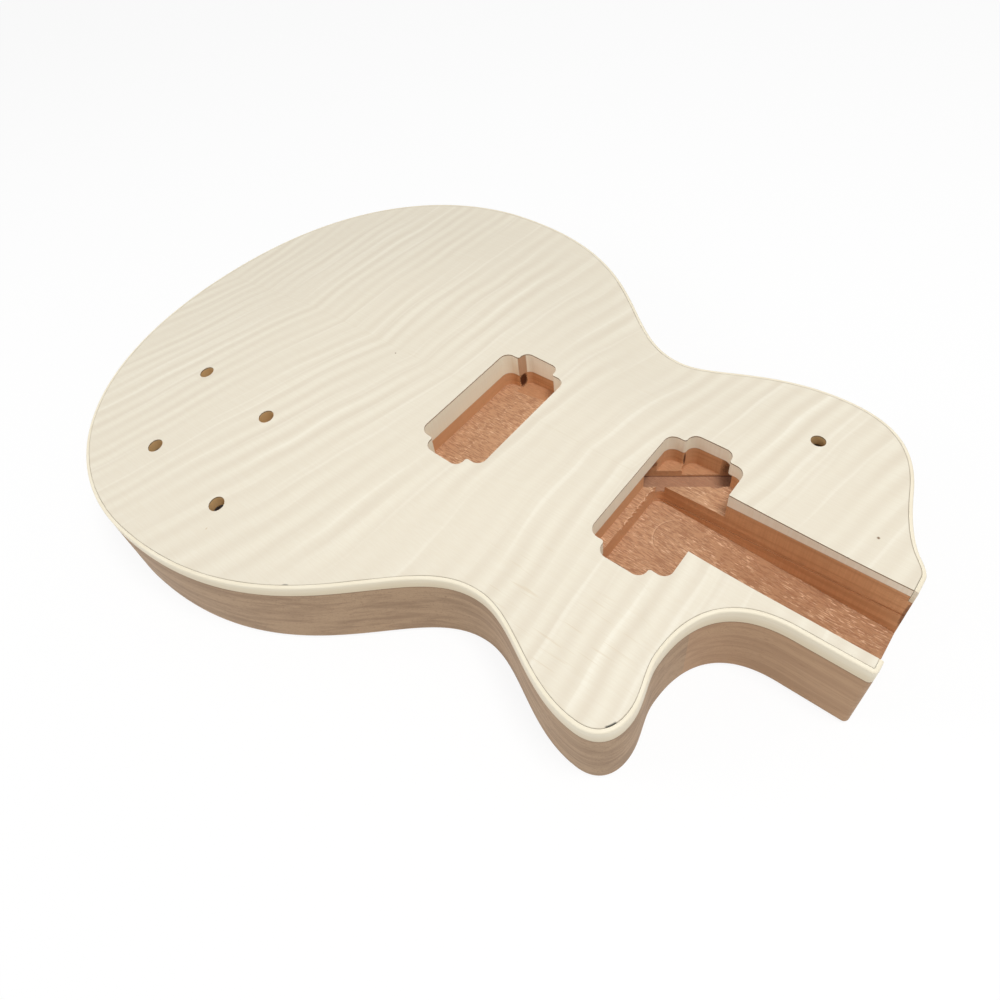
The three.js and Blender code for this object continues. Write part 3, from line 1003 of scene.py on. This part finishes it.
def plainMaple():
    made = Finish("plainMaple", core["roughness"], core["gloss"])
    marks = made.pattern(**core["marks"])
    shade = made.blend(made.sum("MULTIPLY", marks, core["markStrength"]), core["light"], core["dark"])
    shade = made.layer(shade, core["dark"], made.pattern(**core["layers"]), core["layerStrength"])
    # Walls facing along X: greyer end grain, and lighter as painted light
    shade = made.layer(shade, core["endFacing"], made.mark("endFacing"), core["endFacingStrength"])
    foot = made.fade(made.z, heights["glue"] + core["lineHeight"], heights["glue"])
    shade = made.layer(shade, core["line"], foot, core["lineStrength"])
    holes = made.sum("GREATER_THAN", made.sum("ABSOLUTE", made.y), core["holesFrom"])
    shade = made.layer(shade, core["hole"], holes, core["holeStrength"])
    shade = made.layer(shade, core["scorch"], made.near(*core["scorchSpot"]), core["scorchStrength"])
    made.relief(marks, core["markRelief"])
    return made.paint(shade)


# Cream binding: plain plastic with faint sanding lines, and painted light: lighter towards its upper edge,
# darker down its side
cream = {
    "roughness": 0.42,
    "gloss": 0.3,
    "light": colour(243, 234, 212),
    "deep": colour(222, 206, 174),
    "sanding": {"sizes": (0.012, 0.012, 0.0005), "limits": (0.3, 0.7)},
    "sandingShare": 0.18,
    "sandingRelief": 0.00001,
    "cloud": {"sizes": (0.03, 0.03, 0.01), "detail": 1.0},
    "cloudShare": 0.2,
    "litTopShare": 0.7,
    "litTopAboveRim": 0.0005,
}


def creamBinding():
    made = Finish("creamBinding", cream["roughness"], cream["gloss"])
    sanded = made.pattern(**cream["sanding"])
    # Painted light: lighter towards the top of the binding, painted shade lower down its side
    rise = made.fade(made.z, heights["bindingBase"], heights["rim"] + cream["litTopAboveRim"])
    share = made.sum("MULTIPLY", rise, cream["litTopShare"])
    share = made.sum("MULTIPLY_ADD", made.grain(**cream["cloud"]), cream["cloudShare"], share)
    share = made.sum("MULTIPLY_ADD", sanded, cream["sandingShare"], share)
    made.relief(sanded, cream["sandingRelief"])
    return made.paint(made.blend(share, cream["deep"], cream["light"]))


# Brown back wood: sanded outside, with fine torn fibres on cut floors and long streaks on cut walls
brown = {
    "roughness": 0.62,
    "gloss": 0.25,
    "sanded": colour(183, 154, 124),
    "streak": colour(152, 124, 98),
    "pore": colour(116, 88, 64),
    "warm": colour(200, 156, 118),
    "floor": colour(201, 155, 119),
    "deepFloor": colour(184, 138, 102),
    "fleck": colour(156, 106, 76),
    "splinter": colour(244, 204, 168),
    "wall": colour(220, 165, 119),
    "deepWall": colour(190, 134, 90),
    # Painted light for cut walls facing along X
    "endFacing": colour(222, 172, 130),
    # Dark brown for burns, and for painted shade in the wire trench's mouth
    "burnAndShade": colour(84, 46, 24),
    "trenchShade": colour(168, 123, 97),
    # Painted shade at the foot of the trench's bass wall
    "trenchFootShade": colour(96, 58, 36),
    "smoothShade": colour(192, 138, 98),
    # Painted shade for the lit top of the channel's narrow step
    "step": colour(156, 104, 66),
    "relief": 0.00010,
    "poreReliefShare": 0.2,
}

# Its outside: broad streaks, fine lines and pores, warmer on the middle board, darker under the binding
sanding = {
    "streaks": {
        "sizes": (0.11, 0.016, 0.0042),
        "detail": 4.0,
        "roughness": 0.6,
        "distortion": 0.4,
        "limits": (0.38, 0.66),
    },
    "streakStrength": 0.75,
    "lines": {"sizes": (0.05, 0.0016, 0.0011), "distortion": 0.2, "limits": (0.56, 0.70)},
    "lineStrength": 0.35,
    "pores": {"sizes": (0.0075, 0.00045, 0.00045), "detail": 1.0, "limits": (0.58, 0.72)},
    "poreStrength": 0.4,
    "middleStrength": 0.35,
    "jointFade": (0.0009, 0.0001),
    "jointStrength": 0.55,
}


def sandedOutside(made):
    streaks = made.pattern(**sanding["streaks"])
    pores = made.pattern(**sanding["pores"])
    shade = made.layer(brown["sanded"], brown["streak"], streaks, sanding["streakStrength"])
    shade = made.layer(shade, brown["streak"], made.pattern(**sanding["lines"]), sanding["lineStrength"])
    shade = made.layer(shade, brown["pore"], pores, sanding["poreStrength"])
    middle = made.sum("LESS_THAN", made.sum("ABSOLUTE", made.y), bassJoint)
    shade = made.layer(shade, brown["warm"], middle, sanding["middleStrength"])
    joint = made.fade(made.z, *(heights["bindingBase"] - drop for drop in sanding["jointFade"]))
    return made.layer(shade, brown["pore"], joint, sanding["jointStrength"]), pores


# Its cut floors: dark flecks and light splinters of torn grain, darker in the deep parts
floors = {
    "flecks": {
        "sizes": (0.0042, 0.00062, 0.00062),
        "roughness": 0.55,
        "distortion": 0.3,
        "limits": (0.46, 0.62),
    },
    "fleckStrength": 0.6,
    "splinters": {
        "sizes": (0.0034, 0.00050, 0.00050),
        "detail": 1.5,
        "distortion": 0.3,
        "limits": (0.55, 0.68),
    },
    "splinterStrength": 0.75,
    "passes": {"sizes": (0.010, 0.006, 0.006), "detail": 1.0, "limits": (0.35, 0.62)},
    "deepFade": (0.0230, 0.0195),
    "dashRows": (0.0155, 0.0285),
    "dashFade": (0.0011, 0.0004),
    "dashStrength": 0.8,
    "levelFade": (0.0005, 0.0003),
}


def cutFloor(made):
    flecks = made.pattern(**floors["flecks"])
    lifted = made.pattern(**floors["splinters"])
    passes = made.pattern(**floors["passes"])
    shade = made.blend(made.fade(made.z, *floors["deepFade"]), brown["floor"], brown["deepFloor"])
    shade = made.layer(shade, brown["fleck"], flecks, floors["fleckStrength"])
    splinters = made.sum("MULTIPLY", lifted, passes)
    shade = made.layer(shade, brown["splinter"], splinters, floors["splinterStrength"])
    for row in floors["dashRows"]:
        dash = made.sum("MULTIPLY", made.fade(made.distance(made.x, row), *floors["dashFade"]), lifted)
        shade = made.layer(shade, brown["splinter"], dash, floors["dashStrength"])
    for worked in (smoothEar, trenchBottom, passRing, shadedNarrowStep):
        shade = worked(made, shade)
    return shade, flecks


def atHeight(made, height):
    return made.fade(made.distance(made.z, height), *floors["levelFade"])


# The smoother corner of the bridge pocket's floor, beyond a slanted edge
ear = {
    "slope": 0.147,
    "start": 0.0286,
    "leftX": 0.0111,
    "edgeFade": (-0.0002, 0.0002),
    "strength": 0.8,
}


def smoothEar(made, shade):
    past = made.sum("SUBTRACT", made.y, made.sum("MULTIPLY_ADD", made.x, ear["slope"], ear["start"]))
    inside = made.sum("GREATER_THAN", made.x, ear["leftX"])
    share = made.sum("MULTIPLY", made.fade(past, *ear["edgeFade"]), inside)
    share = made.sum("MULTIPLY", share, atHeight(made, pockets["bridgeFloor"]))
    return made.layer(shade, brown["smoothShade"], share, ear["strength"])


# The wire trench's floor, with painted shade along the foot of its bass wall, and the smooth ledge beyond
# it
trench = {
    "strength": 0.75,
    "footShadeFade": (0.0008, 0.0002),
    "footShadeStrength": 0.8,
    "ledgeFade": (0.0, -0.0002),
    "ledgeFromX": 0.09,
    "ledgeStrength": 0.7,
}


def trenchBottom(made, shade):
    start, end = trenchEnds()
    run = end - start
    side = Vector((run.y, -run.x)).normalized()
    edge = start.dot(side) - controls["trenchWidth"] / 2
    across = made.sum("MULTIPLY_ADD", made.x, side.x, made.sum("MULTIPLY_ADD", made.y, side.y, -edge))
    level = atHeight(made, controls["trenchFloor"])
    shade = made.layer(shade, brown["trenchShade"], level, trench["strength"])
    # Painted shade on the floor along the foot of the bass wall
    foot = made.sum("MULTIPLY", made.fade(across, *trench["footShadeFade"]), level)
    shade = made.layer(shade, brown["trenchFootShade"], foot, trench["footShadeStrength"])
    inPocket = made.sum("GREATER_THAN", made.x, trench["ledgeFromX"])
    past = made.sum("MULTIPLY", made.fade(across, *trench["ledgeFade"]), inPocket)
    return made.layer(shade, brown["smoothShade"], past, trench["ledgeStrength"])


# A round pass of the cutter, left on the deep side's floor as a faint step, drawn as a painted highlight
# along its edge and a painted shadow just inside it
ring = {
    "middle": (0.128, 0.0015, 0.0235),
    "radius": 0.0116,
    "halfFade": (0.122, 0.119),
    "lineFade": (0.0004, 0.0001),
    "inset": 0.0005,
    "highlightStrength": 0.35,
    "shadowStrength": 0.4,
}


def passRing(made, shade):
    off = made.sum("SUBTRACT", made.vector("DISTANCE", made.place, ring["middle"])["Value"], ring["radius"])
    half = made.fade(made.x, *ring["halfFade"])
    lines = (
        (0.0, brown["splinter"], ring["highlightStrength"]),
        (ring["inset"], brown["fleck"], ring["shadowStrength"]),
    )
    # Painted highlight on the step's edge, painted shadow just inside it
    for inset, over, strength in lines:
        line = made.fade(made.sum("ABSOLUTE", made.sum("ADD", off, inset)), *ring["lineFade"])
        shade = made.layer(shade, over, made.sum("MULTIPLY", line, half), strength)
    return shade


# The narrow step along the bass side of the neck channel, its lit top darkened with painted shade
channelLedge = {
    "aside": 0.0002,
    "above": 0.0004,
}


def shadedNarrowStep(made, shade):
    reach = pockets["channelWidth"] / 2 - pockets["channelStep"] - channelLedge["aside"]
    limits = (
        ("GREATER_THAN", made.y, reach),
        ("LESS_THAN", made.z, pockets["channelStepHeight"] + channelLedge["above"]),
        ("GREATER_THAN", made.x, fromEnd(pockets["pocketEndFromEnd"])),
    )
    share = 1.0
    for limit in limits:
        share = made.sum("MULTIPLY", share, made.sum(*limit))
    # Painted shade over the step's lit top
    return made.blend(share, shade, brown["step"])


# Its cut walls, lighter where they face along X, which is painted light
walls = {
    "tooling": {"sizes": (0.0008, 0.0008, 0.02), "limits": (0.3, 0.7)},
    "toolingStrength": 0.3,
    "bands": {"sizes": (0.09, 0.05, 0.0022), "detail": 3.0, "distortion": 0.3, "limits": (0.4, 0.62)},
    "bandStrength": 0.6,
    "endFacingStrength": 0.8,
    "darkCore": 0.35,
    "ragged": {"sizes": (0.0007, 0.0007, 0.0010), "detail": 3.0, "roughness": 0.7},
    "raggedShare": 2.4,
    "raggedFade": (0.35, 0.6),
}

# Dark ragged places on its walls and floors, most of them burnt and torn, one painted shade: middle, reach
# each way, strength
burnsAndShade = [
    ((0.0112, 0.0366, 0.0385), (0.0016, 0.0052, 0.0075), 1.0),
    ((0.1114, 0.0352, 0.0375), (0.0012, 0.0014, 0.0065), 0.9),
    # Painted shade in the mouth of the wire trench, by the neck pocket's bass ear
    ((0.1335, 0.0400, 0.0360), (0.0088, 0.0064, 0.0085), 0.7),
    ((0.1000, 0.0230, 0.0390), (0.0045, 0.0080, 0.0036), 0.6),
    ((0.1130, -0.0272, 0.0235), (0.0085, 0.0021, 0.0040), 0.9),
    ((0.2212, -0.0172, 0.0340), (0.0014, 0.0020, 0.0120), 0.6),
    ((0.2212, 0.0172, 0.0300), (0.0014, 0.0020, 0.0150), 0.6),
]


def cutWall(made):
    bands, tooling = made.pattern(**walls["bands"]), made.pattern(**walls["tooling"])
    shade = made.layer(brown["wall"], brown["deepWall"], bands, walls["bandStrength"])
    shade = made.layer(shade, brown["deepWall"], tooling, walls["toolingStrength"])
    # Walls facing along X painted lighter: painted light
    return made.layer(shade, brown["endFacing"], made.mark("endFacing"), walls["endFacingStrength"])


def burntAndShaded(made, shade):
    ragged = made.sum("SUBTRACT", made.grain(**walls["ragged"]), 0.5)
    for spot, reach, strength in burnsAndShade:
        near = made.near(spot, walls["darkCore"], 1.0, reach)
        uneven = made.sum("MULTIPLY_ADD", ragged, walls["raggedShare"], near)
        darkened = made.sum("MULTIPLY", made.fade(uneven, *walls["raggedFade"]), near)
        shade = made.layer(shade, brown["burnAndShade"], darkened, strength)
    return shade


def brownBack():
    made = Finish("brownBack", brown["roughness"], brown["gloss"])
    outside, pores = sandedOutside(made)
    floor, flecks = cutFloor(made)
    shade = burntAndShaded(made, made.blend(made.mark("upright"), floor, cutWall(made)))
    shade = made.blend(made.mark("machined"), outside, shade)
    shade = made.blend(made.mark("loose"), shade, brown["splinter"])
    rough = made.sum("MULTIPLY", flecks, made.mark("machined"))
    height = made.sum("ADD", rough, made.sum("MULTIPLY", pores, brown["poreReliefShare"]))
    made.relief(height, brown["relief"])
    return made.paint(shade)


finishes = {
    "figured_veneer": figuredMaple(),
    "cap_wood": plainMaple(),
    "binding_plastic": creamBinding(),
    "back_wood": brownBack(),
}
smoothAngle = math.radians(30)


def finishPiece(piece, node, slotName):
    pick(piece)
    bpy.ops.object.shade_smooth_by_angle(angle=smoothAngle)
    if "ring" in piece.data.attributes:
        piece.data.attributes.remove(piece.data.attributes["ring"])
    piece.data.materials.clear()
    piece.data.materials.append(finishes[slotName])
    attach(piece, "root")
    if node:
        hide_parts(node)


for piece, node in zip(leaves, ("veneer_bass", "veneer_treble")):
    finishPiece(piece, node, "figured_veneer")
for piece, node in zip(cores, ("cap_core_bass", "cap_core_treble")):
    finishPiece(piece, node, "cap_wood")
for piece, node in zip(strips, ("binding_bass", "binding_treble")):
    finishPiece(piece, node, "binding_plastic")
for piece, node in zip(boards, ("back_centre_board", "back_bass_board", "back_treble_board")):
    finishPiece(piece, node, "back_wood")
finishPiece(fibres, None, "back_wood")
print("finishes laid on")


# Camera of the photograph
cameraSettings = {
    "place": (0.20892, -0.18390, 0.31402),
    "forward": (-0.50152, 0.46081, -0.73221),
    "right": (0.76033, 0.63855, -0.11892),
    "lens": 26.14,
    "shiftX": 0.01825,
    "shiftY": -0.0617,
    "clipStart": 0.01,
}


def addCamera():
    bpy.ops.object.select_all(action="DESELECT")
    bpy.ops.object.camera_add()
    camera = bpy.context.object
    forward = Vector(cameraSettings["forward"]).normalized()
    right = Vector(cameraSettings["right"]).normalized()
    turned = Matrix((right, right.cross(forward), -forward)).transposed().to_4x4()
    camera.matrix_world = Matrix.Translation(cameraSettings["place"]) @ turned
    camera.data.lens = cameraSettings["lens"]
    camera.data.shift_x = cameraSettings["shiftX"]
    camera.data.shift_y = cameraSettings["shiftY"]
    camera.data.clip_start = cameraSettings["clipStart"]
    bpy.context.scene.camera = camera


# Light and floor; to the camera the floor is mostly white by itself, so its shadow stays but is faint
studio = {
    "white": (1, 1, 1, 1),
    "floorSize": 6,
    "floorDrop": 0.0003,
    "floorRoughness": 0.9,
    "ownWhite": 0.88,
    "darkUnderHollows": (((-0.0957, -0.0964, 0), 0.050), ((0.1593, 0.0702, 0), 0.022)),
    "darkEdge": 0.003,
    "skyStrength": 0.44,
    "keyPlace": (0.40, -0.03, 1.10),
    "keySize": 0.35,
    "keyPower": 6.9,
    "fillPlace": (-0.62, -0.66, 0.62),
    "fillSize": 0.6,
    "fillPower": 2.2,
    "aim": (0.0, 0.0, 0.04),
}


def softBox(name, place, size, power):
    bpy.ops.object.select_all(action="DESELECT")
    turn = (Vector(place) - Vector(studio["aim"])).to_track_quat("Z", "Y").to_euler()
    bpy.ops.object.light_add(type="AREA", location=place, rotation=turn)
    lamp = bpy.context.object
    lamp.name = name
    lamp.data.shape = "DISK"
    lamp.data.size = size
    lamp.data.energy = power


def seenRays(tree):
    rays = tree.nodes.new("ShaderNodeLightPath").outputs
    seen = rays["Is Camera Ray"]
    for kind in ("Is Glossy Ray", "Is Transmission Ray"):
        node = tree.nodes.new("ShaderNodeMath")
        node.operation = "MAXIMUM"
        tree.links.new(seen, node.inputs[0])
        tree.links.new(rays[kind], node.inputs[1])
        seen = node.outputs[0]
    return seen


def whiteSky():
    world = bpy.data.worlds.new("studio")
    world.use_nodes = True
    tree = world.node_tree
    tree.nodes["Background"].inputs["Color"].default_value = studio["white"]
    level = tree.nodes.new("ShaderNodeMapRange")
    level.inputs["To Min"].default_value = studio["skyStrength"]
    tree.links.new(seenRays(tree), level.inputs["Value"])
    tree.links.new(level.outputs["Result"], tree.nodes["Background"].inputs["Strength"])
    return world


def floorWhite():
    made = Finish("floorWhite", studio["floorRoughness"], 0)
    made.shader.inputs["Base Color"].default_value = studio["white"]
    glow = made.add("ShaderNodeEmission", {}, studio["white"]).outputs[0]
    share = made.sum("MULTIPLY", seenRays(made.tree), studio["ownWhite"])
    # Not white by itself under the hollows, so that the holes above them look dark
    for spot, reach in studio["darkUnderHollows"]:
        lit = made.sum("SUBTRACT", 1.0, made.near(spot, reach, reach + studio["darkEdge"]))
        share = made.sum("MULTIPLY", share, lit)
    mixed = made.add("ShaderNodeMixShader", {}, share, made.shader.outputs[0], glow).outputs[0]
    made.tree.links.new(mixed, made.tree.nodes["Material Output"].inputs["Surface"])
    return made.material


def addStudio():
    bpy.ops.object.select_all(action="DESELECT")
    bpy.ops.mesh.primitive_plane_add(size=studio["floorSize"], location=(0, 0, -studio["floorDrop"]))
    floor = bpy.context.object
    floor.name = "floor"
    floor.data.materials.append(floorWhite())
    softBox("key", studio["keyPlace"], studio["keySize"], studio["keyPower"])
    softBox("fill", studio["fillPlace"], studio["fillSize"], studio["fillPower"])
    bpy.context.scene.world = whiteSky()
    bpy.context.scene.view_settings.view_transform = "Standard"


addCamera()
addStudio()
print("camera and studio set")
